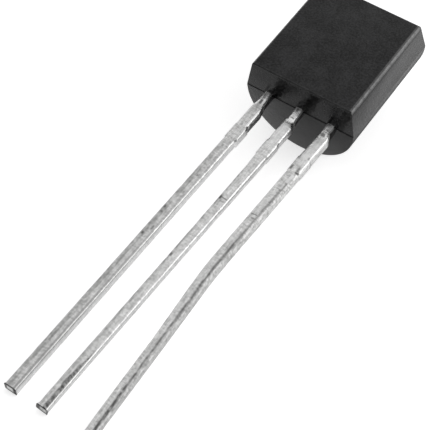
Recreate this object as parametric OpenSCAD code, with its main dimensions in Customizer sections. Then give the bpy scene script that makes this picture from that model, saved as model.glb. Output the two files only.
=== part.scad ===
// Small-signal transistor in a three-lead moulded package, at its real size in millimetres.
// It lies as it comes to rest: on its round back, flat face up, with the lead tips on the surface.
// +Z is up, the leads point to -Y, and the origin is under the middle of the part on the surface.

/* [Moulded body] */
// Width of the body across its parting plane
body_width = 4.3; // [4.15:0.05:4.8]
// Height of the body along the leads, at its parting plane
body_height = 4.9; // [4.5:0.05:5.4]
// Depth of the body from the flat face to the round back
body_depth = 3.3; // [3.2:0.05:3.8]
// Width of the flat face
flat_width = 3.94; // [3.6:0.02:4.1]
// Distance from the flat face to the parting plane
flat_to_parting = 1.15; // [1:0.05:1.4]
// Mould draft of the end faces, in degrees
end_draft = 2.5; // [1:0.5:5]
// Slope of the top end in front of the parting plane, in degrees
top_slope = 12.5; // [2:0.5:15]
// Rounding of the flat face's edges
edge_radius = 0.07; // [0.03:0.01:0.14]
// Width of the groove that the mould halves leave across the end faces
parting_groove = 0.05; // [0.02:0.01:0.08]

/* [Leads outside the body] */
// Distance between neighbouring leads
lead_pitch = 1.27; // [1.15:0.01:1.35]
// Width of a lead below its dam bar
lead_width = 0.42; // [0.36:0.01:0.46]
// Thickness of the lead sheet
lead_thickness = 0.38; // [0.3:0.01:0.45]
// Length of the leads below the body
lead_length = 13.7; // [10:0.1:16]
// Width of the bare neck where a lead leaves the body
neck_width = 0.3; // [0.26:0.01:0.38]
// Length of the bare neck
neck_length = 0.55; // [0.3:0.05:0.8]
// Width of a lead between its neck and the dam bar
shoulder_width = 0.46; // [0.46:0.01:0.55]
// Distance from the body to the upper edge of the cut dam bar
dam_bar_drop = 1.65; // [1.3:0.05:2]
// Height of the cut dam bar
dam_bar_height = 0.65; // [0.3:0.05:0.8]
// How far each stub of the cut dam bar stands out of the lead's side
dam_bar_stub = 0.03; // [0.01:0.01:0.1]
// Lean of all leads towards the emitter's side, in degrees
lead_lean = 1.2; // [0:0.1:3]
// Distance from the body to the start of the base lead's outward bend
bend_drop = 6; // [3.5:0.5:6.5]
// Angle of the base lead's outward bend, in degrees
bend_angle = 3.6; // [0.6:0.2:6]
// Radius of the base lead's outward bend
bend_radius = 30; // [10:1:30]

/* [Lead frame inside the body] */
// Width of the bond posts' heads
post_width = 0.74; // [0.6:0.02:0.8]
// Height of the bond posts' heads
post_height = 0.55; // [0.4:0.05:0.7]
// Distance from the bottom of the body to the bond posts' heads
post_rise = 1.1; // [0.8:0.05:1.3]
// Width of the collector's die paddle
paddle_width = 2.1; // [1.6:0.05:2.6]
// Height of the collector's die paddle
paddle_height = 1.35; // [1.25:0.05:1.5]
// Gap between the bond posts and the paddle
paddle_gap = 0.4; // [0.25:0.05:0.5]
// Diameter of the hole that locks the paddle in the moulding
lock_hole = 0.34; // [0.2:0.02:0.36]

/* [Die and bond wires] */
// Side of the square silicon die
die_side = 0.46; // [0.34:0.02:0.5]
// Thickness of the die
die_thickness = 0.2; // [0.12:0.01:0.28]
// Thickness of the layer that holds the die on the paddle
attach_thickness = 0.03; // [0.02:0.01:0.05]
// How far the attaching layer squeezes out past the die
attach_fillet = 0.04; // [0.02:0.01:0.06]
// Diameter of a bond wire
wire_diameter = 0.04; // [0.03:0.005:0.05]
// Height of a bond wire's loop above the die
loop_height = 0.2; // [0.12:0.02:0.3]
// Diameter of the flattened feet that join a wire to the die and to its post
foot_diameter = 0.1; // [0.08:0.01:0.12]

/* [Hidden] */

BODY_COLOUR = "#2f2f30";
LEAD_COLOUR = "#c9c9c6";
DIE_COLOUR = "#6d7480";
ATTACH_COLOUR = "#b5b4b0";
WIRE_COLOUR = "#e0b64c";

// The package frame, in which every piece is drawn before it is laid down:
// X across the flat face, Y from the flat face to the round back with 0 on the parting plane,
// Z along the leads with 0 on the body's lower parting edge.
half_width = body_width / 2;
back_y = body_depth - flat_to_parting;
back_radius = (half_width * half_width + back_y * back_y) / (2 * back_y);
flat_y = -flat_to_parting;
flat_rise = flat_to_parting * tan(end_draft);
flat_drop = flat_to_parting * tan(top_slope);
back_rise = back_y * tan(end_draft);
BACK_SIDES = 120;
CORNER_STEPS = 6;

// Sides of the leads: -1 is the emitter's, 0 the collector's and 1 the base's.
EMITTER = -1;
COLLECTOR = 0;
BASE = 1;
stub_width = shoulder_width + 2 * dam_bar_stub;
dam_bar_end = dam_bar_drop + dam_bar_height;
post_top = post_rise + post_height;
paddle_bottom = post_top + paddle_gap;
paddle_top = paddle_bottom + paddle_height;
lock_z = paddle_top - lock_hole;
lock_bottom = lock_z - lock_hole / 2;
post_middle = post_rise + post_height / 2;
die_z = (paddle_bottom + lock_bottom) / 2;
BEND_STEPS = 6;

// The die stands on the paddle's front face, which is the parting plane, and looks at the flat face.
attach_side = die_side + 2 * attach_fillet;
die_face_y = -attach_thickness - die_thickness;
pad_offset = die_side / 4;
foot_height = wire_diameter;
loop_y = die_face_y - loop_height;
WIRE_SIDES = 8;
WIRE_STEPS = 7;
HOLE_SIDES = 32;
FOOT_SIDES = 24;

// Resting place: the line from the lead tips' rear edge to the back's lower edge becomes level.
rest_tilt = atan((back_y - lead_thickness) / (lead_length + back_rise));
lift = back_y * cos(rest_tilt) - back_rise * sin(rest_tilt);
tip_reach = -lead_length * cos(rest_tilt);
back_reach = back_y * sin(rest_tilt) + (body_height - back_rise) * cos(rest_tilt);
top_reach = max(back_reach, body_height * cos(rest_tilt));
middle_reach = (tip_reach + top_reach) / 2;

function unit(v) = v / norm(v);

// Points of the arc that rounds corner b of the outline a, b, c to radius r.
function rounded_corner(a, b, c, r) =
    let (
        u = unit(a - b),
        w = unit(c - b),
        half = acos(u * w) / 2,
        centre = b + unit(u + w) * r / sin(half),
        start = b + u * r / tan(half) - centre,
        finish = b + w * r / tan(half) - centre,
        start_angle = atan2(start.y, start.x),
        turn = atan2(start.x * finish.y - start.y * finish.x, start * finish)
    )
    [
        for (i = [0 : CORNER_STEPS])
            let (angle = start_angle + turn * i / CORNER_STEPS)
                centre + r * [cos(angle), sin(angle)]
    ];

// Sideways place of a lead's middle at a distance below the body.
function bend_shift(drop) =
    let (
        run = max(0, drop - bend_drop),
        arc_run = bend_radius * sin(bend_angle),
        on_arc = min(run, arc_run)
    )
    bend_radius - sqrt(bend_radius * bend_radius - on_arc * on_arc) + (run - on_arc) * tan(bend_angle);
function lead_shift(side, drop) =
    -max(0, drop - neck_length) * tan(lead_lean) + (side == BASE ? bend_shift(drop) : 0);

// Distance below the body and half width of a lead, from its stem inside the body down to the tip.
function lead_stations(side) =
    let (
        half_neck = neck_width / 2,
        half_shoulder = shoulder_width / 2,
        half_lead = lead_width / 2,
        stem_top = side == COLLECTOR ? die_z : post_middle,
        bend_step = bend_radius * sin(bend_angle) / BEND_STEPS
    )
    [
        [-stem_top, half_neck],
        [neck_length, half_neck],
        [neck_length + half_shoulder - half_neck, half_shoulder],
        [dam_bar_drop, half_shoulder],
        [dam_bar_drop, stub_width / 2],
        [dam_bar_end, stub_width / 2],
        [dam_bar_end, half_lead],
        for (i = [0 : BEND_STEPS]) if (side == BASE) [bend_drop + i * bend_step, half_lead],
        [lead_length, half_lead]
    ];

// Outline of a lead with its stem, with X across and Y up.
module lead_outline(side) {
    stations = lead_stations(side);
    last = len(stations) - 1;
    left_side = [for (s = stations) [lead_shift(side, s[0]) - s[1], -s[0]]];
    right_side = [
        for (i = [last : -1 : 0])
            let (s = stations[i])
                [lead_shift(side, s[0]) + s[1], -s[0]]
    ];
    translate([side * lead_pitch, 0])
        polygon(concat(left_side, right_side));
}

// A straight strip that is centred on x and runs from z_low to z_high.
module strip(x, width, z_low, z_high) {
    translate([x - width / 2, z_low])
        square([width, z_high - z_low]);
}

// Outline of the collector's die paddle with its locking hole.
module paddle_outline() {
    difference() {
        strip(0, paddle_width, paddle_bottom, paddle_top);
        translate([0, lock_z])
            circle(d = lock_hole, $fn = HOLE_SIDES);
    }
}

// Gives an outline in the lead sheet's plane the sheet's thickness, behind the parting plane.
module stamped() {
    translate([0, lead_thickness, 0])
        rotate([90, 0, 0])
            linear_extrude(height = lead_thickness)
                children();
}

// Turns the package frame to the way the part lies at rest.
module laid_down() {
    translate([0, -middle_reach, lift])
        rotate([rest_tilt - 90, 0, 0])
            children();
}

// Outline of the body seen along the leads: flat face, drafted side walls and round back.
module body_plan() {
    half_flat = flat_width / 2;
    flat_left = [-half_flat, flat_y];
    flat_right = [half_flat, flat_y];
    wall_right = [half_width, 0];
    wall_left = [-half_width, 0];
    polygon(concat(
        rounded_corner(wall_left, flat_left, flat_right, edge_radius),
        rounded_corner(flat_left, flat_right, wall_right, edge_radius),
        [wall_right, [0, back_y / 2], wall_left]
    ));
    intersection() {
        translate([0, back_y - back_radius])
            circle(r = back_radius, $fn = BACK_SIDES);
        translate([-back_radius, 0])
            square([2 * back_radius, back_y]);
    }
}

// Outline of the body seen from its side: drafted ends, rounded flat edges and the two parting grooves.
module body_side() {
    half_groove = parting_groove / 2;
    groove_end = half_groove * tan(end_draft);
    groove_top = half_groove * tan(top_slope);
    bottom_flat = [flat_y, flat_rise];
    top_flat = [flat_y, body_height - flat_drop];
    bottom_back = [back_y, back_rise];
    top_back = [back_y, body_height - back_rise];
    polygon(concat(
        rounded_corner(top_flat, bottom_flat, [0, 0], edge_radius),
        [[-half_groove, groove_end], [0, half_groove], [half_groove, groove_end]],
        [bottom_back, top_back],
        [[half_groove, body_height - groove_end], [0, body_height - half_groove]],
        [[-half_groove, body_height - groove_top]],
        rounded_corner([0, body_height], top_flat, bottom_flat, edge_radius)
    ));
}

// The body before the pieces inside it take their room.
module body_block() {
    intersection() {
        linear_extrude(height = body_height)
            body_plan();
        rotate([90, 0, 90])
            linear_extrude(height = 2 * back_radius, center = true)
                body_side();
    }
}

// A lead: its strip, and inside the body either the die paddle or a bond post's head.
module lead_shape(side) {
    stamped() {
        lead_outline(side);
        if (side == COLLECTOR)
            paddle_outline();
        else
            strip(side * lead_pitch, post_width, post_rise, post_top);
    }
}

module die_shape() {
    translate([-die_side / 2, die_face_y, die_z - die_side / 2])
        cube([die_side, die_thickness, die_side]);
}

module attach_shape() {
    translate([-attach_side / 2, -attach_thickness, die_z - attach_side / 2])
        cube([attach_side, attach_thickness, attach_side]);
}

// Middle line of a bond wire: straight up from the die, over the loop and down to the post.
function wire_path(side) =
    let (
        pad = [side * pad_offset, die_face_y - foot_height / 2, die_z],
        shoulder = [pad.x, loop_y, pad.z],
        seat = [side * lead_pitch, -foot_height / 2, post_middle],
        span = seat - shoulder
    )
    [
        pad,
        (pad + shoulder) / 2,
        for (i = [1 : WIRE_STEPS])
            let (t = i / (WIRE_STEPS + 1))
                shoulder + [span.x * t, span.y * t * t, span.z * t],
        seat
    ];

// Ring of points round point i of a path that lies in the plane with the given normal.
function ring(path, i, normal) =
    let (
        last = len(path) - 1,
        along = unit(path[min(i + 1, last)] - path[max(i - 1, 0)]),
        over = cross(along, normal)
    )
    [
        for (k = [0 : WIRE_SIDES - 1])
            let (angle = 360 * k / WIRE_SIDES)
                path[i] + wire_diameter / 2 * (cos(angle) * normal + sin(angle) * over)
    ];

// The round wire along a path that lies in one plane.
module swept_wire(path) {
    last = len(path) - 1;
    normal = unit(cross(path[last] - path[0], path[1] - path[0]));
    points = [for (i = [0 : last]) each ring(path, i, normal)];
    walls = [
        for (i = [0 : last - 1], k = [0 : WIRE_SIDES - 1])
            let (
                a = i * WIRE_SIDES + k,
                b = i * WIRE_SIDES + (k + 1) % WIRE_SIDES
            )
                [a, a + WIRE_SIDES, b + WIRE_SIDES, b]
    ];
    start_cap = [for (k = [0 : WIRE_SIDES - 1]) k];
    end_cap = [for (k = [WIRE_SIDES - 1 : -1 : 0]) last * WIRE_SIDES + k];
    polyhedron(points, concat([start_cap], walls, [end_cap]));
}

// Flattened foot of a bond wire, standing on a face that looks to -Y.
module wire_foot(x, y, z) {
    translate([x, y, z])
        rotate([90, 0, 0])
            cylinder(d = foot_diameter, h = foot_height, $fn = FOOT_SIDES);
}

module wire_shape(side) {
    swept_wire(wire_path(side));
    wire_foot(side * pad_offset, die_face_y, die_z);
    wire_foot(side * lead_pitch, 0, post_middle);
}

// Moulded body, cast round the lead frame, die and wires, so it fits them face to face.
module moulded_body() {
    color(BODY_COLOUR)
        laid_down()
            difference() {
                body_block();
                for (side = [EMITTER, COLLECTOR, BASE])
                    lead_shape(side);
                die_shape();
                attach_shape();
                wire_shape(EMITTER);
                wire_shape(BASE);
            }
}

module emitter_lead() {
    color(LEAD_COLOUR)
        laid_down()
            lead_shape(EMITTER);
}

module collector_lead() {
    color(LEAD_COLOUR)
        laid_down()
            lead_shape(COLLECTOR);
}

module base_lead() {
    color(LEAD_COLOUR)
        laid_down()
            lead_shape(BASE);
}

module die() {
    color(DIE_COLOUR)
        laid_down()
            die_shape();
}

module die_attach() {
    color(ATTACH_COLOUR)
        laid_down()
            attach_shape();
}

module emitter_bond_wire() {
    color(WIRE_COLOUR)
        laid_down()
            wire_shape(EMITTER);
}

module base_bond_wire() {
    color(WIRE_COLOUR)
        laid_down()
            wire_shape(BASE);
}

moulded_body();
emitter_lead();
collector_lead();
base_lead();
die();
die_attach();
emitter_bond_wire();
base_bond_wire();
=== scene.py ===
import math

import bpy
from bpy.props import FloatProperty, FloatVectorProperty, PointerProperty
from mathutils import Matrix, Vector


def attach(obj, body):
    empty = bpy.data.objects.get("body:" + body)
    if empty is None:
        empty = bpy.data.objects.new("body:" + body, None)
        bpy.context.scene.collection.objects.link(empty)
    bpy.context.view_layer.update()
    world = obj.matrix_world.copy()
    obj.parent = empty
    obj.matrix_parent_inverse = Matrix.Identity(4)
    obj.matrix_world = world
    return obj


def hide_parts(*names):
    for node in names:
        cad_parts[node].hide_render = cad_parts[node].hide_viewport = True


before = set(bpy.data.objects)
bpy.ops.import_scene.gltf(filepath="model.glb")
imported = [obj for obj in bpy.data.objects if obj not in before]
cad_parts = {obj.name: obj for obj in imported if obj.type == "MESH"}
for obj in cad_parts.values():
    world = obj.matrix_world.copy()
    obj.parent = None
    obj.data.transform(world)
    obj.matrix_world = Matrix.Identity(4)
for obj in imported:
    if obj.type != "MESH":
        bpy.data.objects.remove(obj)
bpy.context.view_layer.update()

bl_info = {
    "name": "Moulded transistor",
    "version": (1, 0, 0),
    "blender": (4, 5, 0),
    "location": "3D View > Sidebar > Transistor",
    "description": "Builds the looks of a small moulded transistor round its packed solids",
    "category": "Object",
}

MM = 0.001
FINE = 1e-7
EMITTER, COLLECTOR, BASE = -1, 0, 1
LEADS = {"emitter_lead": EMITTER, "collector_lead": COLLECTOR, "base_lead": BASE}
WHITE = (1, 1, 1, 1)
# The range that most values of a noise texture lie in.
NOISE = (0.35, 0.65)
# A shape that is cut to size starts this many times as long.
OVERSIZE = 1.2
# A face looks along an axis if its normal has more than this on it, and is beside it if less than the other.
LOOKS_ALONG, BESIDE = 0.9, 0.5


# ---- sizes and colours ----

class BodySettings(bpy.types.PropertyGroup):
    """Sizes and colour of the moulded body, as it stands upright on its leads"""
    width: FloatProperty(
        name="Width", description="Width across the parting plane", default=0.0043, unit="LENGTH")
    height: FloatProperty(
        name="Height", description="Height at the parting plane", default=0.0049, unit="LENGTH")
    depth: FloatProperty(
        name="Depth", description="From the flat face to the round back", default=0.0033, unit="LENGTH")
    flat_width: FloatProperty(
        name="Flat width", description="Width of the flat face", default=0.00394, unit="LENGTH")
    flat_to_parting: FloatProperty(
        name="Flat to parting", description="From the flat face to the parting plane", default=0.00115,
        unit="LENGTH")
    end_draft: FloatProperty(
        name="End draft", description="Mould draft of the ends", default=math.radians(2.5), subtype="ANGLE")
    top_slope: FloatProperty(
        name="Top slope", description="Slope of the top end in front of the parting plane",
        default=math.radians(12.5), subtype="ANGLE")
    flat_rounding: FloatProperty(
        name="Flat rounding", description="Radius of the flat face's edges", default=0.00007, unit="LENGTH")
    rim_rounding: FloatProperty(
        name="Rim rounding", description="Radius of the ends' edges", default=0.00002, unit="LENGTH")
    groove: FloatProperty(
        name="Groove", description="Width of the groove across the ends", default=0.00006, unit="LENGTH")
    colour: FloatVectorProperty(
        name="Compound", description="Colour of the moulding compound", default=(0.014, 0.014, 0.0145, 1),
        subtype="COLOR", size=4, min=0, max=1)
    # The worn colour is lighter than the compound; on the rubbed edges it is also a painted highlight.
    worn_and_glint_colour: FloatVectorProperty(
        name="Worn edges", description="Colour of rubbed edges", default=(0.075, 0.075, 0.076, 1),
        subtype="COLOR", size=4, min=0, max=1)


class LeadSettings(bpy.types.PropertyGroup):
    """Sizes and colour of the three leads"""
    pitch: FloatProperty(
        name="Pitch", description="Distance between neighbouring leads", default=0.00127, unit="LENGTH")
    width: FloatProperty(
        name="Width", description="Width of a lead below its dam bar", default=0.00042, unit="LENGTH")
    thickness: FloatProperty(
        name="Thickness", description="Thickness of the lead sheet", default=0.00038, unit="LENGTH")
    length: FloatProperty(name="Length", description="Length below the body", default=0.0137, unit="LENGTH")
    neck_length: FloatProperty(
        name="Neck length", description="Length of the bare neck", default=0.00055, unit="LENGTH")
    neck_swell: FloatProperty(
        name="Neck swell", description="Extra thickness of necks at the body", default=0.00008, unit="LENGTH")
    dam_bar_drop: FloatProperty(
        name="Dam bar drop", description="From the body to the cut dam bar", default=0.00165, unit="LENGTH")
    dam_bar_height: FloatProperty(
        name="Dam bar height", description="Height of the cut dam bar", default=0.00065, unit="LENGTH")
    lean: FloatProperty(
        name="Lean", description="Sideways lean of all leads", default=math.radians(1.2), subtype="ANGLE")
    bend_drop: FloatProperty(
        name="Bend drop", description="From the body to the base lead's bend", default=0.006, unit="LENGTH")
    bend_angle: FloatProperty(
        name="Bend angle", description="Outward bend of the base lead", default=math.radians(3.6),
        subtype="ANGLE")
    bend_radius: FloatProperty(
        name="Bend radius", description="Radius of the bend", default=0.03, unit="LENGTH")
    front_rounding: FloatProperty(
        name="Front rounding", description="Radius of the rolled front edges", default=0.00006, unit="LENGTH")
    rear_rounding: FloatProperty(
        name="Rear rounding", description="Radius of the sheared rear edges", default=0.00003, unit="LENGTH")
    clearance: FloatProperty(
        name="Clearance", description="What the plated leads keep clear of the packed size", default=0.000015,
        unit="LENGTH")
    crease_angle: FloatProperty(
        name="Crease angle", description="Fall of the base lead's front right of its crease",
        default=math.radians(10), subtype="ANGLE")
    colour: FloatVectorProperty(
        name="Plating", description="Colour of the tin plating", default=(0.68, 0.68, 0.675, 1),
        subtype="COLOR", size=4, min=0, max=1)
    # The dark colour also paints the dark reflections on the leads' right sides and the collector lead's left
    # edge.
    dark_and_reflection_colour: FloatVectorProperty(
        name="Dark marks", description="Colour of scratches and bare spots", default=(0.13, 0.13, 0.128, 1),
        subtype="COLOR", size=4, min=0, max=1)


class StageSettings(bpy.types.PropertyGroup):
    """Floor, lamp, surround and camera"""
    floor_size: FloatProperty(
        name="Floor size", description="Side of the square floor", default=1.2, unit="LENGTH")
    floor_colour: FloatVectorProperty(
        name="Floor", description="Colour of the floor", default=(0.8, 0.8, 0.8, 1), subtype="COLOR", size=4,
        min=0, max=1)
    floor_glow: FloatProperty(
        name="Floor glow", description="Added whiteness of the floor for the camera", default=0.66, min=0,
        max=1)
    mirrored_glow: FloatProperty(
        name="Mirrored glow", description="Added whiteness of the floor in reflections", default=0.36, min=0,
        max=1)
    lamp_place: FloatVectorProperty(
        name="Lamp place", description="Middle of the soft box", default=(0.368, 0.193, 0.198), size=3,
        unit="LENGTH")
    lamp_size: FloatProperty(
        name="Lamp size", description="Side of the square soft box", default=0.46, unit="LENGTH")
    lamp_level: FloatProperty(
        name="Lamp level", description="Glow, where 1 is as bright as white paper", default=1.3, min=0)
    sky_behind: FloatProperty(
        name="Sky behind", description="Level of the surround behind the camera", default=0.18, min=0, max=1)
    sky_ahead: FloatProperty(
        name="Sky ahead", description="Level of the surround overhead and ahead", default=0.78, min=0, max=1)
    azimuth: FloatProperty(
        name="Azimuth", description="Camera's turn from the lead side", default=math.radians(31.055),
        subtype="ANGLE")
    elevation: FloatProperty(
        name="Elevation", description="Camera's height angle", default=math.radians(49.7074), subtype="ANGLE")
    roll: FloatProperty(
        name="Roll", description="Camera's turn about its own view", default=math.radians(4.4978),
        subtype="ANGLE")
    distance: FloatProperty(
        name="Distance", description="Camera's distance from its aim", default=0.04376667, unit="LENGTH")
    aim: FloatVectorProperty(
        name="Aim", description="Point that the camera looks at",
        default=(0.00001195, -0.00076112, 0.00134196), size=3, unit="LENGTH")
    sensor: FloatProperty(
        name="Sensor", description="Width of the camera's sensor in millimetres", default=36)
    lens: FloatProperty(name="Lens", description="Focal length in millimetres", default=112.72)


GROUPS = {
    "transistor_body": BodySettings,
    "transistor_leads": LeadSettings,
    "transistor_stage": StageSettings,
}


def settings():
    """The settings of the body, the leads and the stage."""
    return [getattr(bpy.context.scene, name) for name in GROUPS]


# ---- how the part lies ----

def resting_place():
    """Matrix from upright (X across, Y from flat to back, Z along the leads) to the part at rest."""
    body, leads, _ = settings()
    back = body.depth - body.flat_to_parting
    back_rise = back * math.tan(body.end_draft)
    tilt = math.atan((back - leads.thickness) / (leads.length + back_rise))
    lift = back * math.cos(tilt) - back_rise * math.sin(tilt)
    tip = -leads.length * math.cos(tilt)
    top = back * math.sin(tilt) + (body.height - back_rise) * math.cos(tilt)
    turn = Matrix.Rotation(tilt - math.pi / 2, 4, "X")
    return Matrix.Translation((0, -(tip + top) / 2, lift)) @ turn


def between(table, at):
    """Value at a place in a table of (place, value), straight between its rows."""
    for (a, low), (b, high) in zip(table, table[1:]):
        if at <= b:
            return low + (high - low) * max(0, (at - a) / (b - a))
    return table[-1][1]


# Tables by distance below the body, in millimetres: how far a lead reaches to its left and right.
LEFT_REACH = {
    EMITTER: [(0, 0.12), (0.35, 0.135), (0.5, 0.16), (0.66, 0.195), (0.85, 0.2), (2.3, 0.185),
              (13.6, 0.178), (13.68, 0.21)],
    COLLECTOR: [(0, 0.145), (0.52, 0.15), (0.57, 0.205), (0.63, 0.205), (2.3, 0.185), (3, 0.165), (7, 0.176),
                (12, 0.209), (13.58, 0.21), (13.68, 0.255)],
    BASE: [(0, 0.145), (0.5, 0.15), (0.62, 0.18), (0.9, 0.18), (1.6, 0.2), (3, 0.2), (7, 0.246), (10, 0.21),
           (13, 0.23), (13.7, 0.23)],
}
RIGHT_REACH = {
    EMITTER: [(0, 0.13), (0.45, 0.145), (0.66, 0.195), (0.85, 0.238), (2.3, 0.222), (13.62, 0.228),
              (13.68, 0.238)],
    COLLECTOR: [(0, 0.13), (0.5, 0.135), (0.66, 0.14), (0.71, 0.2), (0.85, 0.22), (3, 0.21), (7, 0.168),
                (12, 0.145), (13.6, 0.142), (13.68, 0.165)],
    BASE: [(0, 0.15), (0.3, 0.16), (0.44, 0.22), (0.6, 0.25), (3, 0.224), (7, 0.165), (10, 0.16),
           (13.7, 0.156)],
}
# The same at the cut dam bar.
LEFT_STUB = {EMITTER: 0.21, COLLECTOR: 0.215, BASE: 0.222}
RIGHT_STUB = {EMITTER: 0.262, COLLECTOR: 0.238, BASE: 0.256}
# Turn of a lead about its own line, in degrees.
TWIST = {
    EMITTER: [(0, 2), (13.7, 2)],
    COLLECTOR: [(0, 4), (7, 6), (13.7, 12)],
    BASE: [(0, -4), (2.3, -4), (2.8, -9), (7, -9), (10, 2), (13.7, 12)],
}
# The swell of a neck's front fades out over this share of the neck's length.
SWELL_SHARE = 1.15
# Where a lead gets its sections, in millimetres: above its tip, off the edges of the cut dam bar, down its
# shoulder, and in steps between them. Inside the body it runs on for a little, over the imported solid's start.
TIP_ROWS = (0, 0.012, 0.03, 0.055, 0.085)
BAR_EDGE, BAR_ROWS = 0.02, 5
SHOULDER_END, SHOULDER_ROWS = 0.9, 7
ROW_STEP, LONGEST_STEP = 0.12, 0.13
INTO_BODY, SOLID_START = 0.3, 0.1


def lead_middle(side, drop):
    """Sideways place of a lead's own line at a distance below the body."""
    _, leads, _ = settings()
    place = side * leads.pitch - max(0, drop - leads.neck_length) * math.tan(leads.lean)
    if side == BASE:
        run = max(0, drop - leads.bend_drop)
        on_arc = min(run, leads.bend_radius * math.sin(leads.bend_angle))
        place += leads.bend_radius - math.sqrt(leads.bend_radius ** 2 - on_arc ** 2)
        place += (run - on_arc) * math.tan(leads.bend_angle)
    return place


def lead_turn(side, drop):
    """Turn of a lead about its own line at a distance below the body."""
    return math.radians(between(TWIST[side], drop / MM))


def lead_row(side, drop):
    """Half width, half thickness, sideways shift and lift of a section at a distance below the body."""
    _, leads, _ = settings()
    at = drop / MM
    bar_top, bar_end = leads.dam_bar_drop / MM, (leads.dam_bar_drop + leads.dam_bar_height) / MM
    swell = leads.neck_swell / 2 * min(1, max(0, 1 - drop / (SWELL_SHARE * leads.neck_length)))
    if bar_top <= at <= bar_end:
        left, right = LEFT_STUB[side], RIGHT_STUB[side]
    else:
        left, right = between(LEFT_REACH[side], at), between(RIGHT_REACH[side], at)
    half, shift = (left + right) / 2 * MM, (right - left) / 2 * MM
    half_thick = leads.thickness / 2
    turn, r = lead_turn(side, drop), leads.rear_rounding
    reach = (half - r) * abs(math.sin(turn)) + (half_thick - r) * math.cos(turn) + r
    return half, half_thick + swell, shift, swell + max(0, reach - half_thick) + leads.clearance


def lead_drops(side):
    """Distances below the body at which a lead gets a section, from its tip up."""
    _, leads, _ = settings()
    bar_top, bar_end = leads.dam_bar_drop, leads.dam_bar_drop + leads.dam_bar_height
    count = int((leads.length - bar_end) / (ROW_STEP * MM))
    tip = leads.length - leads.clearance
    drops = [tip - s * MM for s in TIP_ROWS]
    drops += [tip - (tip - bar_end - BAR_EDGE * MM) * i / count for i in range(1, count + 1)]
    drops += [bar_end - (bar_end - bar_top) * i / BAR_ROWS for i in range(BAR_ROWS + 1)]
    drops += [bar_top - BAR_EDGE * MM]
    down = bar_top - SHOULDER_END * MM
    drops += [bar_top - down * i / SHOULDER_ROWS for i in range(1, SHOULDER_ROWS + 1)]
    kinks = sorted({at * MM for table in (LEFT_REACH, RIGHT_REACH) for at, _ in table[side]}, reverse=True)
    drops += [d for d in kinks if d < SHOULDER_END * MM] + [-INTO_BODY * MM]
    fine = []
    for a, b in zip(drops, drops[1:]):
        parts = max(1, int((a - b) / (LONGEST_STEP * MM)))
        fine += [a + (b - a) * i / parts for i in range(parts)]
    return fine + [drops[-1]]


# ---- modelling helpers ----

def nothing_selected():
    if bpy.context.object and bpy.context.object.mode != "OBJECT":
        bpy.ops.object.mode_set(mode="OBJECT")
    bpy.ops.object.select_all(action="DESELECT")


def only(piece):
    nothing_selected()
    piece.select_set(True)
    bpy.context.view_layer.objects.active = piece


def added(name, operator, **values):
    """The object that an operator adds, with its name and nothing else selected."""
    nothing_selected()
    operator(**values)
    made = bpy.context.object
    made.name = name
    return made


def edit(piece):
    """Opens the piece in edit mode with everything selected."""
    only(piece)
    bpy.ops.object.mode_set(mode="EDIT")
    bpy.ops.mesh.select_all(action="SELECT")


def pick(piece, kind, test):
    """Selects only the vertices, edges or faces of the piece in edit mode that pass the test."""
    bpy.ops.mesh.select_mode(type=kind)
    bpy.ops.mesh.select_all(action="DESELECT")
    bpy.ops.object.mode_set(mode="OBJECT")
    mesh = piece.data
    group = {"VERT": mesh.vertices, "EDGE": mesh.edges, "FACE": mesh.polygons}[kind]
    for element in group:
        element.select = test(element)
    bpy.ops.object.mode_set(mode="EDIT")


def ends(piece, edge):
    return [piece.data.vertices[v].co for v in edge.vertices]


def trim(point, normal, **side):
    """Cuts what is selected at a plane, closes the cut and clears one side of it."""
    bpy.ops.mesh.bisect(plane_co=point, plane_no=normal, use_fill=True, threshold=FINE, **side)


def close_up(piece):
    """Merges what lies on one spot and turns all faces outwards."""
    edit(piece)
    bpy.ops.mesh.remove_doubles(threshold=FINE)
    bpy.ops.mesh.normals_make_consistent(inside=False)
    bpy.ops.object.mode_set(mode="OBJECT")


def drop_slivers(piece):
    """Dissolves the slivers that a boolean leaves and splits its many-sided faces into sound triangles."""
    edit(piece)
    bpy.ops.mesh.dissolve_degenerate(threshold=10 * FINE)
    bpy.ops.mesh.quads_convert_to_tris(quad_method="BEAUTY", ngon_method="BEAUTY")
    bpy.ops.object.mode_set(mode="OBJECT")


def modify(piece, kind, **values):
    """Adds a modifier with these values and applies it."""
    only(piece)
    modifier = piece.modifiers.new(kind.lower(), kind)
    for key, value in values.items():
        setattr(modifier, key, value)
    bpy.ops.object.modifier_apply(modifier=modifier.name)


def combine(piece, other, operation):
    """Joins another mesh to the piece or cuts it away, and removes it."""
    modify(piece, "BOOLEAN", object=other, operation=operation, solver="EXACT")
    bpy.data.objects.remove(other)


def settle(piece, place=None):
    """Moves a mesh by a matrix, if there is one, and leaves its object at the origin."""
    only(piece)
    if place is not None:
        piece.matrix_world = place @ piece.matrix_world
    bpy.ops.object.transform_apply(location=True, rotation=True, scale=True)


def dress(piece, material, smooth):
    """Gives a piece its material and its smooth faces, and lays it as the part rests."""
    only(piece)
    bpy.ops.object.shade_smooth_by_angle(angle=math.radians(smooth))
    piece.data.materials.clear()
    piece.data.materials.append(material)
    settle(piece, resting_place())


# ---- shader helpers ----

def chain(operation):
    """A call of Nodes that works through its values, from the first to the last, with one operation."""
    def work(nodes, *values):
        result = values[0]
        for value in values[1:]:
            result = nodes.made("ShaderNodeMath", {0: result, 1: value}, operation=operation)
        return result
    return work


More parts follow.
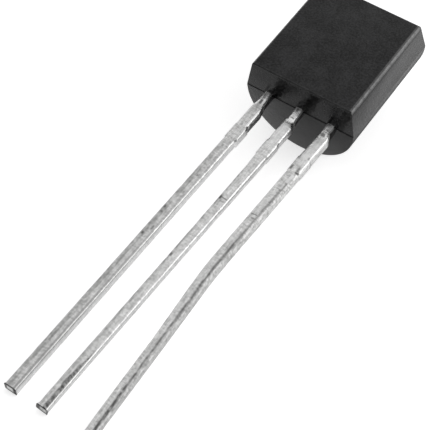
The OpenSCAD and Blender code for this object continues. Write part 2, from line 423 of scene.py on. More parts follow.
class Nodes:
    """A node tree with short calls for adding and linking nodes."""
    in_column, column_width, row_height = 6, 220, 190

    def __init__(self, tree):
        self.tree = tree
        self.count = 0

    def add(self, kind, **values):
        node = self.tree.nodes.new(kind)
        column, row = divmod(self.count, self.in_column)
        node.location = (column * self.column_width, -row * self.row_height)
        self.count += 1
        for key, value in values.items():
            setattr(node, key, value)
        return node

    def put(self, target, value):
        if hasattr(value, "is_output"):
            self.tree.links.new(value, target)
        elif value is not None:
            target.default_value = value

    def made(self, kind, inputs, output=0, **values):
        """Adds a node, fills its inputs from a dict and gives one of its outputs."""
        node = self.add(kind, **values)
        for key, value in inputs.items():
            self.put(node.inputs[key], value)
        return node.outputs[output]

    times, plus = chain("MULTIPLY"), chain("ADD")
    minus, most = chain("SUBTRACT"), chain("MAXIMUM")

    def rest(self, mask):
        return self.minus(1.0, mask)

    def unsigned(self, value):
        return self.made("ShaderNodeMath", {0: value}, operation="ABSOLUTE")

    def span(self, value, low, high, out_low=0.0, out_high=1.0, kind="LINEAR"):
        """Goes from out_low to out_high as the value goes from low to high, and stays there beyond."""
        inputs = dict(enumerate((value, low, high, out_low, out_high)))
        return self.made("ShaderNodeMapRange", inputs, interpolation_type=kind)

    def ease(self, *values):
        """A span with soft ends."""
        return self.span(*values, kind="SMOOTHSTEP")

    def band(self, value, middle, half, soft):
        return self.group(soft_band(), Value=value, Middle=middle, Half=half, Soft=soft)["Mask"]

    def mix(self, factor, a, b):
        return self.made("ShaderNodeMix", {0: factor, 6: a, 7: b}, output=2, data_type="RGBA")

    def split(self, vector):
        node = self.add("ShaderNodeSeparateXYZ")
        self.put(node.inputs[0], vector)
        return node.outputs

    def stored(self, name, output="Fac"):
        return self.add("ShaderNodeAttribute", attribute_name=name).outputs[output]

    def stretched(self, vector, scale, shift=(0, 0, 0), turn=(0, 0, 0)):
        inputs = {"Vector": vector, "Location": shift, "Rotation": turn, "Scale": scale}
        return self.made("ShaderNodeMapping", inputs, vector_type="POINT")

    def noise(self, vector, scale, detail=2.0, roughness=0.5, stretch=None):
        vector = self.stretched(vector, stretch) if stretch else vector
        inputs = {"Vector": vector, "Scale": scale, "Detail": detail, "Roughness": roughness}
        return self.made("ShaderNodeTexNoise", inputs)

    def bump(self, height, strength, distance, normal=None):
        inputs = {"Height": height, "Strength": strength, "Distance": distance, "Normal": normal}
        return self.made("ShaderNodeBump", inputs)

    def group(self, tree, **values):
        node = self.add("ShaderNodeGroup", node_tree=tree)
        for key, value in values.items():
            self.put(node.inputs[key], value)
        return node.outputs


def shared_group(name, inputs, outputs, fill):
    """A node group that is made once. Its inputs' values go by name, and one without a value is a vector."""
    if name in bpy.data.node_groups:
        return bpy.data.node_groups[name]
    tree = bpy.data.node_groups.new(name, "ShaderNodeTree")
    for socket, value in inputs.items():
        kind = "NodeSocketVector" if value is None else "NodeSocketFloat"
        made = tree.interface.new_socket(name=socket, in_out="INPUT", socket_type=kind)
        if value is not None:
            made.default_value = value
    for socket in outputs:
        tree.interface.new_socket(name=socket, in_out="OUTPUT", socket_type="NodeSocketFloat")
    nodes = Nodes(tree)
    given, wanted = nodes.add("NodeGroupInput"), nodes.add("NodeGroupOutput")
    fill(nodes, given.outputs, wanted.inputs)
    return tree


def fine_grain():
    """Group: fine grain as a height, and a slow mottle."""
    def fill(nodes, given, wanted):
        for scale, out, detail in (("Grain", "Height", 3.0), ("Slow", "Mottle", 4.0)):
            nodes.put(wanted[out], nodes.noise(given["Place"], given[scale], detail))
    return shared_group("fine grain", {"Place": None, "Grain": 20.0, "Slow": 3.0}, ("Height", "Mottle"), fill)


def soft_band():
    """Group: 1 where a value is within a half width of a middle, with soft ends, and 0 elsewhere."""
    def fill(nodes, given, wanted):
        off = nodes.unsigned(nodes.minus(given["Value"], given["Middle"]))
        low, high = nodes.minus(given["Half"], given["Soft"]), nodes.plus(given["Half"], given["Soft"])
        nodes.put(wanted["Mask"], nodes.ease(off, low, high, 1.0, 0.0))
    inputs = {"Value": 0.0, "Middle": 0.0, "Half": 0.1, "Soft": 0.02}
    return shared_group("soft band", inputs, ("Mask",), fill)


def new_material(name):
    material = bpy.data.materials.new(name)
    material.use_nodes = True
    material.node_tree.nodes.clear()
    nodes = Nodes(material.node_tree)
    shader = nodes.add("ShaderNodeBsdfPrincipled")
    out = nodes.add("ShaderNodeOutputMaterial")
    nodes.put(out.inputs["Surface"], shader.outputs["BSDF"])
    return material, nodes, shader.inputs


def grey(colour, factor):
    """A colour made darker or lighter by a factor."""
    return (*(Vector(colour[:3]) * factor), 1)


def upright_place(nodes):
    """The piece's own coordinates, turned upright and in millimetres."""
    back = resting_place().inverted()
    place = nodes.add("ShaderNodeTexCoord").outputs["Object"]
    return nodes.stretched(place, (1 / MM, 1 / MM, 1 / MM), back.translation / MM, back.to_euler())


# ---- materials ----

def moulding_compound():
    """Black epoxy compound: fine matt grain, slight mottle, rubbed edges with a painted highlight, painted
    shadows and reflections beside the leads.
    """
    body, leads, _ = settings()
    material, nodes, shader = new_material("black moulding compound")
    span, times, plus, most, rest = nodes.span, nodes.times, nodes.plus, nodes.most, nodes.rest
    place = upright_place(nodes)
    x, y, z = nodes.split(place)
    flat, inside = -body.flat_to_parting / MM, body.flat_width / 2 / MM
    groove, wear_and_glint, wall, end = (nodes.stored(name) for name in ("groove", "edge_wear", "wall", "end_face"))
    grain = nodes.group(fine_grain(), Place=place, Grain=15.0, Slow=1.6)
    speckle = nodes.noise(place, 9.0, 3.0, 0.7)

    # Painted shadows and reflections of the leads on the front half of the lower end: a patch to the right of
    # each lead and a thin line to its left.
    ragged = times(nodes.minus(nodes.noise(place, 8.0, 4.0, 0.7), 0.5), 0.4)
    painted_lead_shadows = 0.0
    for side in LEADS.values():
        off = nodes.minus(x, side * leads.pitch / MM)
        patch = nodes.band(plus(off, times(y, 0.28), ragged), 0.27, 0.18, 0.04)
        line = times(nodes.band(plus(off, times(y, 0.38)), -0.15, 0.045, 0.025), span(y, -0.6, -0.4))
        painted_lead_shadows = most(painted_lead_shadows, patch, line)
    painted_lead_shadows = times(painted_lead_shadows, end, span(z, 1.0, 0.5), span(y, 0.01, -0.02))

    # Rubbed edges round the flat, also lightened as a painted highlight, and most of all the flat's right edge.
    on_flat = times(span(y, flat + 0.02, flat + 0.005), span(x, inside - 0.12, inside - 0.09))
    on_wall = times(wall, span(y, flat + 0.14, flat + 0.1), span(x, inside - 0.1, inside - 0.05))
    wear_and_glint = most(wear_and_glint, times(most(on_flat, on_wall), 0.8))
    rubbed_and_glint = times(wear_and_glint, span(nodes.noise(place, 6.0), 0.25, 0.6, 0.45, 1.0))

    tone = plus(times(grain["Height"], 0.6), times(grain["Mottle"], 0.4))
    black, pale = grey(body.colour, 0.1), grey(body.colour, 2.1)
    colour = nodes.mix(span(tone, 0.38, 0.62), black, pale)
    # Black here is painted shade in the grooves and the painted shadows of the leads; the worn colour is a
    # painted highlight on rubbed edges.
    colour = nodes.mix(most(groove, painted_lead_shadows), colour, black)
    nodes.put(shader["Base Color"], nodes.mix(rubbed_and_glint, colour, tuple(body.worn_and_glint_colour)))

    # The ends are polished, the rest is matt, and the right of the round back is the dullest.
    dull_back = times(wall, span(y, 0.1, 0.5, 0.0, 0.3), span(x, 0.9, 1.5))
    matt = plus(span(speckle, *NOISE, 0.26, 0.42), dull_back)
    polished = plus(span(speckle, *NOISE, 0.01, 0.04), span(y, -0.1, 0.0, 0.0, 0.07))
    nodes.put(shader["Roughness"], plus(times(matt, rest(end)), times(polished, end), times(groove, 0.6)))

    # A coat gives a sheen to the rubbed edges, the walls' front part and, weakly, the front half of the ends.
    sheen = times(wall, span(y, flat + 0.15, flat + 0.25, 0.0, 0.34), span(y, -0.7, 0.3, 1.0, 0.12),
                  span(speckle, *NOISE, 0.6, 1.2))
    end_sheen = times(end, 0.07, span(y, 0.0, -0.1), rest(painted_lead_shadows))
    nodes.put(shader["Coat Weight"], most(rubbed_and_glint, plus(sheen, end_sheen)))

    # Black metal has no gloss: it takes the shine off the painted lead shadows and off the rear half of the
    # ends.
    dull_lead_shadows = times(painted_lead_shadows, span(speckle, 0.4, 0.6, 0.2, 0.65))
    dull_rear = times(end, 0.4, span(y, 0.0, 0.05))
    nodes.put(shader["Metallic"], most(dull_lead_shadows, dull_rear))
    for socket, value in (("IOR", 1.35), ("Coat Roughness", 0.25), ("Coat IOR", 1.7)):
        shader[socket].default_value = value

    relief = times(speckle, rest(times(end, span(y, -0.1, 0.1, 0.85, 0.3))))
    fine = nodes.bump(grain["Height"], 1.0, 0.000012)
    nodes.put(shader["Normal"], nodes.bump(relief, 0.25, 0.00002, fine))
    return material


# Marks on the plating of each lead, in millimetres in the lead's own frame: across, along, half width, half
# height, softness and strength. Dark ones are scratches and bare spots, light ones are spots of bright tin
# and painted highlights.
DARK_MARKS = {
    EMITTER: [(-0.1, -5.8, 0.05, 0.06, 0.04, 0.85), (-0.08, -6.02, 0.06, 0.04, 0.03, 0.8),
              (-0.08, -7.03, 0.05, 0.06, 0.04, 0.95), (0.07, -6.7, 0.03, 0.09, 0.03, 0.7),
              (0.03, -4.2, 0.03, 0.05, 0.03, 0.5), (0.06, -5.0, 0.03, 0.04, 0.03, 0.4),
              (0.0, -1.6, 0.03, 0.05, 0.03, 0.45), (-0.01, -2.7, 0.04, 0.05, 0.03, 0.55),
              (-0.06, -12.0, 0.06, 0.08, 0.04, 0.35)],
    COLLECTOR: [(0.0, -4.48, 0.13, 0.022, 0.015, 0.75), (0.02, -4.62, 0.08, 0.025, 0.02, 0.5),
                (-0.12, -4.5, 0.05, 0.08, 0.03, 0.95), (-0.12, -7.2, 0.05, 0.07, 0.03, 0.8),
                (0.12, -0.66, 0.035, 0.05, 0.02, 1.0)],
    BASE: [(-0.04, -4.46, 0.12, 0.018, 0.015, 0.7), (0.0, -4.62, 0.06, 0.03, 0.02, 0.6),
           (-0.14, -2.17, 0.04, 0.1, 0.05, 0.9), (-0.13, -1.72, 0.03, 0.06, 0.03, 0.45),
           (0.13, -2.17, 0.03, 0.1, 0.05, 0.85), (0.18, -2.32, 0.09, 0.03, 0.02, 0.9),
           (0.16, -1.6, 0.03, 0.06, 0.03, 0.6)],
}
LIGHT_MARKS = {
    EMITTER: [(-0.12, -0.48, 0.035, 0.17, 0.03, 1.0), (0.08, -0.28, 0.035, 0.16, 0.03, 1.0),
              (0.17, -1.05, 0.03, 0.6, 0.015, 1.0)],
    COLLECTOR: [(-0.12, -0.35, 0.03, 0.22, 0.03, 1.0), (0.04, -0.28, 0.05, 0.08, 0.03, 0.6),
                (0.03, -0.55, 0.07, 0.05, 0.02, 1.0), (-0.14, -0.7, 0.03, 0.1, 0.03, 0.9),
                (0.0, -4.2, 0.03, 0.08, 0.03, 1.0)],
    BASE: [(-0.02, -0.22, 0.07, 0.12, 0.04, 0.8), (0.11, -0.38, 0.035, 0.1, 0.02, 1.0),
           (-0.1, -0.8, 0.03, 0.3, 0.03, 0.6), (0.12, -2.65, 0.05, 0.2, 0.04, 0.9),
           (0.1, -3.05, 0.03, 0.12, 0.03, 0.7)],
}
NECK_MARKS = {
    EMITTER: [(-0.01, -0.45, 0.05, 0.1, 0.03, 0.9), (-0.04, -0.18, 0.03, 0.1, 0.03, 0.5)],
    COLLECTOR: [(-0.03, -0.12, 0.04, 0.06, 0.03, 0.8), (-0.02, -0.45, 0.08, 0.025, 0.02, 0.75)],
    BASE: [(0.0, -0.5, 0.09, 0.07, 0.03, 0.85), (0.05, -0.3, 0.02, 0.1, 0.02, 0.8)],
}


def tin_plating():
    """Bright tin over the leads, bare at their necks, dark where they are cut."""
    _, leads, _ = settings()
    material, nodes, shader = new_material("tin plating")
    span, ease, band, mix, noise = nodes.span, nodes.ease, nodes.band, nodes.mix, nodes.noise
    times, plus, minus, most, rest = nodes.times, nodes.plus, nodes.minus, nodes.most, nodes.rest
    tin, dark_tin_and_reflection = tuple(leads.colour), tuple(leads.dark_and_reflection_colour)
    # Bright tin, and also the colour of painted highlights on the necks and fronts.
    bright_tin_and_glint = (0.95, 0.95, 0.95, 1)
    neck_end, tip = -leads.neck_length / MM, -leads.length / MM
    place, lead = nodes.stored("lead_place", "Vector"), nodes.stored("lead_number")
    across, through, along = nodes.split(place)
    # Each lead is moved this many millimetres along its patterns, so that no two are alike.
    apart = nodes.add("ShaderNodeCombineXYZ")
    nodes.put(apart.inputs["Z"], times(lead, 31.0))
    own = nodes.stretched(place, (1, 1, 1), apart.outputs[0])
    streaks = noise(own, 15.0, 3.0, 0.6, stretch=(1, 1, 0.14))
    blotches = noise(own, 3.2, 3.0, 0.55, stretch=(1, 1, 0.5))
    coarse = noise(own, 9.0, 3.0, 0.6, stretch=(1, 1, 0.5))
    fine = noise(own, 14.0, 3.0, 0.7, stretch=(0.5, 0.5, 1))
    drift = minus(noise(own, 1.6, stretch=(0, 0, 1)), 0.5)
    # Masks: each lead, the fronts, the front part of the sides, the right sides, and all below the dam bar.
    is_lead = {side: band(lead, float(side), 0.4, 0.05) for side in LEADS.values()}
    emitter, collector, base = is_lead.values()
    front, upper = ease(through, -0.12, -0.16), ease(through, 0.02, -0.1)
    right = ease(across, 0.17, 0.2)
    below = ease(along, -2.35, -2.7)

    def marks(table):
        """The strongest of a table's marks at each point of the fronts."""
        return most(*(times(is_lead[side], front, band(across, u, du, soft), band(along, z, dz, soft), level)
                      for side, rows in table.items() for u, z, du, dz, soft, level in rows))

    # The crease along the base lead.
    crease_at = plus(times(drift, 0.05), span(along, -5.5, -11.0, 0.09, 0.02),
                     span(along, -3.0, -5.5, 0.045, 0.0))
    crease_half = span(along, -11.0, -12.8, 0.036, 0.048)
    crease = times(base, front, below, band(across, crease_at, crease_half, 0.032),
                   span(coarse, 0.36, 0.56, 0.3, 0.85), span(along, -4.4, -6.6, 0.55, 1.0),
                   span(along, -10.5, -12.8, 0.92, 1.25))
    # The collector lead's darker left edge, a painted dark reflection, and the scar near its tip.
    left_edge = times(collector, upper, ease(across, -0.06, -0.13), ease(along, -2.6, -3.6),
                      span(along, -10.0, -12.0, 1.0, 0.5), span(coarse, 0.38, 0.6, 0.05, 0.55))
    scar_left = span(along, -11.2, -12.4, 0.08, -0.04)
    in_scar = plus(minus(across, scar_left), times(minus(coarse, 0.5), 0.15))
    scar = times(collector, front, ease(along, -11.0, -11.6), span(in_scar, -0.02, 0.02),
                 span(across, 0.12, 0.08), span(fine, 0.4, 0.58, 0.3, 1.0))
    # The blotched front of the emitter lead, and thin lines along the fronts and the right sides.
    blotched = times(emitter, front, ease(along, -2.2, -3.4), band(across, -0.085, 0.085, 0.03),
                     span(coarse, 0.4, 0.6, 0.14, 0.46))
    front_line = times(front, band(across, 0.135, 0.012, 0.015), rest(base),
                       span(streaks, 0.35, 0.6, 0.0, 0.3))
    side_line = times(right, span(through, -0.145, -0.13), span(through, -0.07, -0.09), rest(emitter),
                      span(streaks, 0.35, 0.6, 0.2, 0.7), rest(times(base, span(along, -9.0, -8.0))))
    dark = most(crease, left_edge, scar, blotched, front_line, side_line, marks(DARK_MARKS))

    # A painted dark reflection of the black body on the right sides: down the emitter lead to its dam bar, and
    # on every neck.
    ragged = times(minus(noise(own, 5.0), 0.5), 0.3)
    ragged_along, ragged_through = plus(along, ragged), plus(through, ragged)
    painted_body_reflection = most(
        times(emitter, right, span(ragged_through, -0.12, -0.04), span(ragged_along, -1.75, -1.6)),
        times(span(ragged_along, -0.6, -0.45), span(across, 0.1, 0.125), span(ragged_through, -0.18, -0.1)))
    # The cut ends: a dark border, and a bright middle on the emitter lead.
    off_middle = most(nodes.unsigned(across), nodes.unsigned(through))
    cut = times(span(along, tip + 0.035, tip + 0.017), span(off_middle, 0.09, 0.15, 0.1, 1.0))
    cut_middle = times(emitter, rest(cut), span(along, tip + 0.024, tip + 0.017))
    neck = ease(along, neck_end - 0.03, neck_end + 0.05)
    # Spots of bright tin and painted highlights, and the bright middle of the emitter lead's cut end.
    tin_blobs_and_glints = most(marks(LIGHT_MARKS), cut_middle)

    tone = plus(times(streaks, 0.4), times(fine, 0.6))
    colour = mix(span(tone, 0.37, 0.63), grey(tin, 0.66), grey(tin, 1.36))
    # The emitter lead's right corner gets darker down the lead.
    darker_corner = times(band(across, 0.19, 0.06, 0.03), upper, emitter, span(along, -2.4, -12.0, 0.05, 0.75))
    # A lighter collector front, and a painted highlight on the emitter lead's front right edge.
    lifted = most(times(collector, front, 0.1), times(emitter, right, span(through, -0.15, -0.11), 0.3))
    # Painted light on the fronts of the collector and base leads near the body.
    lit_near_body = times(rest(emitter), front, ease(along, -2.4, -1.0, 0.0, 0.42))
    # Painted shade on the base lead right of its crease, dimming the highlight there.
    shaded_right_part = times(base, span(across, 0.02, 0.1), span(along, -3.5, -10.0, 0.0, 0.35))
    # The necks' lighter edges are a painted highlight; the collector and base necks are lighter all over.
    neck_glint = plus(span(nodes.unsigned(across), 0.04, 0.09, 0.0, 0.5), span(emitter, 0.0, 1.0, 0.1, 0.0))
    bare = span(plus(noise(own, 6.0, 3.0), neck_glint), 0.38, 0.62)
    # Layers over the tin, from the lowest up: where each one is, and its colour.
    layers = (
        (darker_corner, grey(tin, 0.55)),
        (times(emitter, front, 0.06), dark_tin_and_reflection),
        (lifted, WHITE),
        (lit_near_body, WHITE),
        (shaded_right_part, grey(tin, 0.5)),
        (dark, dark_tin_and_reflection),
        (neck, mix(bare, grey(tin, 0.6), bright_tin_and_glint)),
        (marks(NECK_MARKS), dark_tin_and_reflection),
        (tin_blobs_and_glints, bright_tin_and_glint),
        (most(painted_body_reflection, cut), grey(dark_tin_and_reflection, 0.18)),
    )
    for mask, layer in layers:
        colour = mix(mask, colour, layer)
    nodes.put(shader["Base Color"], colour)
    nodes.put(shader["Metallic"], minus(1.0, times(painted_body_reflection, 0.85), times(neck, rest(tin_blobs_and_glints), 0.15)))

    rough = minus(span(blotches, 0.3, 0.7, 0.24, 0.36), times(most(tin_blobs_and_glints, neck), 0.12))
    dulled = times(base, below, span(across, 0.04, 0.1), span(coarse, 0.4, 0.6, 0.5, 0.25))
    nodes.put(shader["Roughness"], plus(rough, times(dark, 0.15), dulled))
    ripple = nodes.bump(plus(streaks, fine), 0.3, 0.00002)
    nodes.put(shader["Normal"], nodes.bump(blotches, 0.3, 0.00005, ripple))
    return material


def inner_finish(name, colour, metallic, roughness, grain):
    """A finish for a small inner piece: colour, roughness and height vary with a fine grain."""
    material, nodes, shader = new_material(name)
    made = nodes.group(fine_grain(), Place=upright_place(nodes), Grain=grain, Slow=grain / 6)
    nodes.put(shader["Base Color"],
              nodes.mix(nodes.span(made["Mottle"], 0.3, 0.7), grey(colour, 0.85), grey(colour, 1.1)))
    shader["Metallic"].default_value = metallic
    nodes.put(shader["Roughness"], nodes.span(made["Height"], 0.3, 0.7, roughness * 0.8, roughness * 1.2))
    nodes.put(shader["Normal"], nodes.bump(made["Height"], 0.15, 0.000004))
    return material


# ---- pieces ----

class TRANSISTOR_OT_body(bpy.types.Operator):
    """Models the moulded body: round back, drafted front and ends, rounded edges and parting grooves"""
    bl_idname = "transistor.body"
    bl_label = "Moulded body"
    bl_options = {"REGISTER", "UNDO"}

    def execute(self, context):
        body, _, _ = settings()
        back, half = body.depth - body.flat_to_parting, body.width / 2
        radius = (half ** 2 + back ** 2) / (2 * back)
        flat_y = -body.flat_to_parting
        piece = added("body_shell", bpy.ops.mesh.primitive_cylinder_add, vertices=256, radius=radius,
                      depth=body.height * OVERSIZE, location=(0, back - radius, body.height / 2))
        settle(piece)
        edit(piece)
        trim((0, 0, 0), (0, 1, 0), clear_inner=True)
        pick(piece, "FACE", lambda f: f.normal.y < -LOOKS_ALONG)
        bpy.ops.mesh.extrude_region_move(TRANSFORM_OT_translate={"value": (0, flat_y, 0)})
        bpy.ops.transform.resize(value=(body.flat_width / body.width, 1, 1),
                                 center_override=(0, flat_y, body.height / 2))
        draft, slope = math.tan(body.end_draft), math.tan(body.top_slope)
        for level, outward in ((0, (0, -draft, -1)), (0, (0, draft, -1)),
                               (body.height, (0, -slope, 1)), (body.height, (0, draft, 1))):
            bpy.ops.mesh.select_all(action="SELECT")
            trim((0, 0, level), outward, clear_outer=True)
        close_up(piece)
        edit(piece)
        pick(piece, "EDGE", lambda e: all(abs(co.y - flat_y) < FINE for co in ends(piece, e)))
        bpy.ops.mesh.bevel(offset=body.flat_rounding, segments=6, profile=0.5, clamp_overlap=False)
        bpy.ops.object.mode_set(mode="OBJECT")
        modify(piece, "BEVEL", width=body.rim_rounding, segments=2, limit_method="ANGLE",
               angle_limit=math.radians(40))
        for level in (0, body.height):
            cutter = added("groove_cutter", bpy.ops.mesh.primitive_cylinder_add, vertices=4,
                           radius=body.groove / 2, depth=body.width * OVERSIZE,
                           location=(0, 0, level), rotation=(0, math.pi / 2, 0))
            settle(cutter)
            combine(piece, cutter, "DIFFERENCE")
        drop_slivers(piece)
        self.note_faces(piece)
        dress(piece, moulding_compound(), smooth=28)
        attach(piece, "root")
        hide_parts("moulded_body")
        return {"FINISHED"}

    def note_faces(self, piece):
        """Stores how rubbed each face is, as wear and painted highlight, and which faces are grooves, walls and
        ends.
        """
        body, _, _ = settings()
        flat_y = -body.flat_to_parting
        # Wear, also a painted highlight, is greatest where a rounded edge is about half way round, and less at
        # the ends' edges.
        half_way, gain, end_share = 0.6, 1.6, 0.35
        notes = piece.data.attributes
        names = ("edge_wear", "groove", "wall", "end_face")
        for name in names:
            notes.new(name, "FLOAT", "FACE")
        for face, note, groove, wall, end in zip(piece.data.polygons, *(notes[name].data for name in names)):
            sideways, upwards = abs(face.normal.x), abs(face.normal.z)
            groove.value = float(abs(face.center.y) < body.groove / 2 and sideways < BESIDE)
            wall.value = float(upwards < BESIDE and face.center.y > flat_y + FINE)
            end.value = float(upwards > LOOKS_ALONG)
            if face.center.y < flat_y + body.flat_rounding:
                wear_and_glint = gain * (1 - abs(max(sideways, upwards) - half_way) / half_way)
                note.value = max(0, min(1, wear_and_glint)) * (1 if sideways > upwards else end_share)


class TRANSISTOR_OT_leads(bpy.types.Operator):
    """Models the leads with rounded plated edges, bare necks, cut dam bars and the base lead's bend"""
    bl_idname = "transistor.leads"
    bl_label = "Leads"
    bl_options = {"REGISTER", "UNDO"}

    def section(self, side):
        """The section at the tip: a plane with rounded corners and slightly crowned sides."""
        _, leads, _ = settings()
        reach = (leads.width / 2, leads.thickness / 2)
        # How far the middles of the sides and of the front and rear stand out, and the steps down.
        crown, steps = (0.006 * MM, 0.010 * MM), 5
        piece = added("lead_section", bpy.ops.mesh.primitive_plane_add, size=1)
        piece.scale = (leads.width, leads.thickness, 1)
        settle(piece)
        edit(piece)
        for front, r in ((True, leads.front_rounding), (False, leads.rear_rounding)):
            pick(piece, "VERT", lambda v: (v.co.y < 0) == front
                 and all(abs(abs(v.co[axis]) - reach[axis]) < FINE for axis in (0, 1)))
            bpy.ops.mesh.bevel(offset=r, offset_type="OFFSET", segments=4, affect="VERTICES",
                               clamp_overlap=False)
        for axis in (0, 1):
            pick(piece, "EDGE",
                 lambda e: all(abs(abs(co[axis]) - reach[axis]) < FINE for co in ends(piece, e)))
            bpy.ops.mesh.subdivide(number_cuts=steps)
        for axis, sign in ((0, -1), (0, 1), (1, -1), (1, 1)):
            for step in range(1 - steps, steps):
                low, high = ((step + half) / steps * reach[1 - axis] for half in (-0.5, 0.5))
                pick(piece, "VERT", lambda v: abs(v.co[axis] - sign * reach[axis]) < FINE
                     and low <= v.co[1 - axis] < high)
                shift = [0, 0, 0]
                shift[axis] = sign * crown[axis] * (1 - (step / steps) ** 2)
                bpy.ops.transform.translate(value=shift)
        if side == BASE:
            # The front falls away to the right of a crease, an eighth of the width right of the middle.
            crease, front_y = 0.25 * reach[0], -reach[1]
            pick(piece, "VERT", lambda v: v.co.y < front_y + leads.front_rounding + FINE
                 and v.co.x > crease + FINE)
            bpy.ops.transform.rotate(value=-leads.crease_angle, orient_axis="Z",
                                     center_override=(crease, front_y, 0))
        bpy.ops.mesh.select_all(action="SELECT")
        return piece

    def outer(self, side):
        """The part of a lead outside the body, drawn from the tip up, section by section."""
        _, leads, _ = settings()
        piece = self.section(side)
        drops = lead_drops(side)
        half, thick = leads.width / 2, leads.thickness / 2
        turn, centre = 0.0, Vector((0, 0, 0))
        for index, drop in enumerate(drops):
            new_half, new_thick, shift, lift = lead_row(side, drop)
            new_turn = lead_turn(side, drop)
            new_centre = Vector((lead_middle(side, drop) + shift, leads.thickness / 2 - lift, -drop))
            step = new_centre - centre
            if index:
                bpy.ops.mesh.extrude_region_move(TRANSFORM_OT_translate={"value": step})
            else:
                bpy.ops.transform.translate(value=step)
            if turn:
                bpy.ops.transform.rotate(value=turn, orient_axis="Z", center_override=new_centre)
            bpy.ops.transform.resize(value=(new_half / half, new_thick / thick, 1),
                                     center_override=new_centre)
            if new_turn:
                bpy.ops.transform.rotate(value=-new_turn, orient_axis="Z", center_override=new_centre)
            half, thick, turn, centre = new_half, new_thick, new_turn, new_centre
        close_up(piece)
        return piece

    def inner(self, name):
        """The part of a lead inside the body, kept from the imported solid."""
        nothing_selected()
        piece = bpy.data.objects.new(name + "_inner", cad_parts[name].data.copy())
        bpy.context.scene.collection.objects.link(piece)
        settle(piece, resting_place().inverted())
        edit(piece)
        bpy.ops.mesh.remove_doubles(threshold=FINE)
        bpy.ops.mesh.select_all(action="SELECT")
        trim((0, 0, SOLID_START * MM), (0, 0, 1), clear_inner=True)
        close_up(piece)
        return piece

    def execute(self, context):
        plating = tin_plating()
        ripple = bpy.data.textures.new("ripple", "CLOUDS")
        ripple.noise_scale = 0.35 * MM
        for name, side in LEADS.items():
            piece = self.outer(side)
            piece.name = name + "_plated"
            modify(piece, "DISPLACE", texture=ripple, texture_coords="GLOBAL", strength=0.012 * MM,
                   mid_level=0.5)
            combine(piece, self.inner(name), "UNION")
            drop_slivers(piece)
            self.note_places(piece, side)
            dress(piece, plating, smooth=40)
            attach(piece, "root")
            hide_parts(name)
        return {"FINISHED"}

    def note_places(self, piece, side):
        """Stores each point's place in its lead's own frame, in millimetres, and the lead's number."""
        _, leads, _ = settings()
        notes = piece.data.attributes
        notes.new("lead_place", "FLOAT_VECTOR", "POINT")
        notes.new("lead_number", "FLOAT", "POINT")
        rows = zip(piece.data.vertices, notes["lead_place"].data, notes["lead_number"].data)
        for vertex, place, number in rows:
            x, y, z = vertex.co
            drop = max(0, -z)
            _, _, _, lift = lead_row(side, drop)
            turn = lead_turn(side, drop)
            dx, dy = x - lead_middle(side, drop), y - leads.thickness / 2 + lift
            across = dx * math.cos(turn) + dy * math.sin(turn)
            through = dy * math.cos(turn) - dx * math.sin(turn)
            place.vector = (across / MM, through / MM, z / MM)
            number.value = side


class TRANSISTOR_OT_inner(bpy.types.Operator):
    """Gives the die, the layer under it and the bond wires their finishes"""
    bl_idname = "transistor.inner"
    bl_label = "Die and bond wires"
    bl_options = {"REGISTER", "UNDO"}

    def execute(self, context):
        gold = inner_finish("gold wire", (0.83, 0.62, 0.22), 1.0, 0.2, 80.0)
        finishes = {
            "die": inner_finish("polished silicon", (0.15, 0.17, 0.22), 0.6, 0.12, 20.0),
            "die_attach": inner_finish("silver adhesive", (0.6, 0.6, 0.58), 0.8, 0.55, 60.0),
            "emitter_bond_wire": gold,
            "base_bond_wire": gold,
        }
        for name, material in finishes.items():
            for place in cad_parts[name].material_slots:
                place.material = material
        return {"FINISHED"}


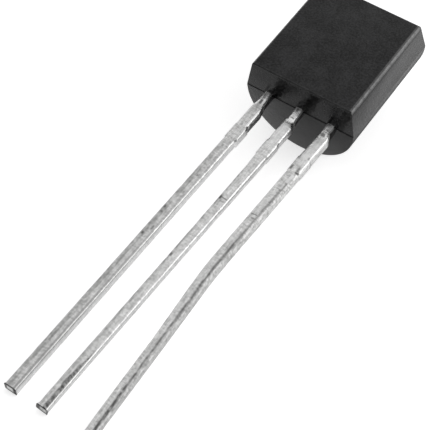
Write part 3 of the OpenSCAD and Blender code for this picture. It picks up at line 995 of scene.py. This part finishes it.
class TRANSISTOR_OT_stage(bpy.types.Operator):
    """Sets up the pale floor, the lamp, the world and the camera"""
    bl_idname = "transistor.stage"
    bl_label = "Floor, lamp and camera"
    bl_options = {"REGISTER", "UNDO"}

    def floor(self, stage):
        floor = added("floor", bpy.ops.mesh.primitive_plane_add, size=stage.floor_size, location=(0, 0, 0))
        material, nodes, shader = new_material("pale floor")
        for socket, value in (("Base Color", stage.floor_colour), ("Roughness", 0.9),
                              ("Specular IOR Level", 0.0), ("Emission Color", WHITE)):
            shader[socket].default_value = value
        path = nodes.add("ShaderNodeLightPath").outputs
        mirrored = nodes.most(path["Is Glossy Ray"], path["Is Transmission Ray"])
        glow = nodes.plus(nodes.times(path["Is Camera Ray"], stage.floor_glow),
                          nodes.times(mirrored, stage.mirrored_glow))
        nodes.put(shader["Emission Strength"], glow)
        floor.data.materials.append(material)

    def lamp(self, stage):
        """A square soft box that faces the part."""
        place = Vector(stage.lamp_place)
        lamp = added("key", bpy.ops.object.light_add, type="AREA", location=place,
                     rotation=place.to_track_quat("Z", "Y").to_euler())
        lamp.data.shape = "SQUARE"
        lamp.data.size = stage.lamp_size
        lamp.data.energy = stage.lamp_level * math.pi * stage.lamp_size ** 2

    def world(self, scene, stage):
        """A soft surround: darker behind the camera, and white where the camera sees past the floor."""
        scene.world = bpy.data.worlds.new("studio")
        scene.world.use_nodes = True
        scene.world.node_tree.nodes.clear()
        nodes = Nodes(scene.world.node_tree)
        _, y, _ = nodes.split(nodes.add("ShaderNodeTexCoord").outputs["Generated"])
        level = nodes.ease(y, -0.55, 0.2, stage.sky_behind, stage.sky_ahead)
        seen = nodes.add("ShaderNodeLightPath").outputs["Is Camera Ray"]
        sky = nodes.add("ShaderNodeBackground")
        nodes.put(sky.inputs["Color"], nodes.mix(seen, level, WHITE))
        out = nodes.add("ShaderNodeOutputWorld")
        nodes.put(out.inputs["Surface"], sky.outputs[0])

    def camera(self, scene, stage):
        turn, rise = stage.azimuth, stage.elevation
        back = Vector((math.sin(turn) * math.cos(rise), -math.cos(turn) * math.cos(rise), math.sin(rise)))
        facing = (-back).to_track_quat("-Z", "Y").to_matrix() @ Matrix.Rotation(stage.roll, 3, "Z")
        camera = added("camera", bpy.ops.object.camera_add, rotation=facing.to_euler(),
                       location=Vector(stage.aim) + back * stage.distance)
        camera.data.sensor_width = stage.sensor
        camera.data.lens = stage.lens
        camera.data.clip_start = 0.001
        camera.data.clip_end = 10
        scene.camera = camera

    def execute(self, context):
        _, _, stage = settings()
        context.scene.view_settings.view_transform = "Standard"
        self.floor(stage)
        self.lamp(stage)
        self.world(context.scene, stage)
        self.camera(context.scene, stage)
        return {"FINISHED"}


class TRANSISTOR_PT_panel(bpy.types.Panel):
    """Lists the pieces and their sizes"""
    bl_idname = "TRANSISTOR_PT_panel"
    bl_label = "Transistor"
    bl_space_type = "VIEW_3D"
    bl_region_type = "UI"
    bl_category = "Transistor"

    def draw(self, context):
        layout = self.layout
        for operator in PIECES:
            layout.operator(operator.bl_idname)
        for group in settings():
            box = layout.box()
            for name in group.bl_rna.properties.keys():
                if name not in {"rna_type", "name"}:
                    box.prop(group, name)


PIECES = (TRANSISTOR_OT_body, TRANSISTOR_OT_leads, TRANSISTOR_OT_inner, TRANSISTOR_OT_stage)
CLASSES = (*GROUPS.values(), *PIECES, TRANSISTOR_PT_panel)


def register():
    for item in CLASSES:
        bpy.utils.register_class(item)
    for name, group in GROUPS.items():
        setattr(bpy.types.Scene, name, PointerProperty(type=group))


def unregister():
    for name in GROUPS:
        delattr(bpy.types.Scene, name)
    for item in reversed(CLASSES):
        bpy.utils.unregister_class(item)


def main():
    register()
    bpy.ops.transistor.body()
    bpy.ops.transistor.leads()
    bpy.ops.transistor.inner()
    bpy.ops.transistor.stage()


if __name__ == "__main__":
    main()
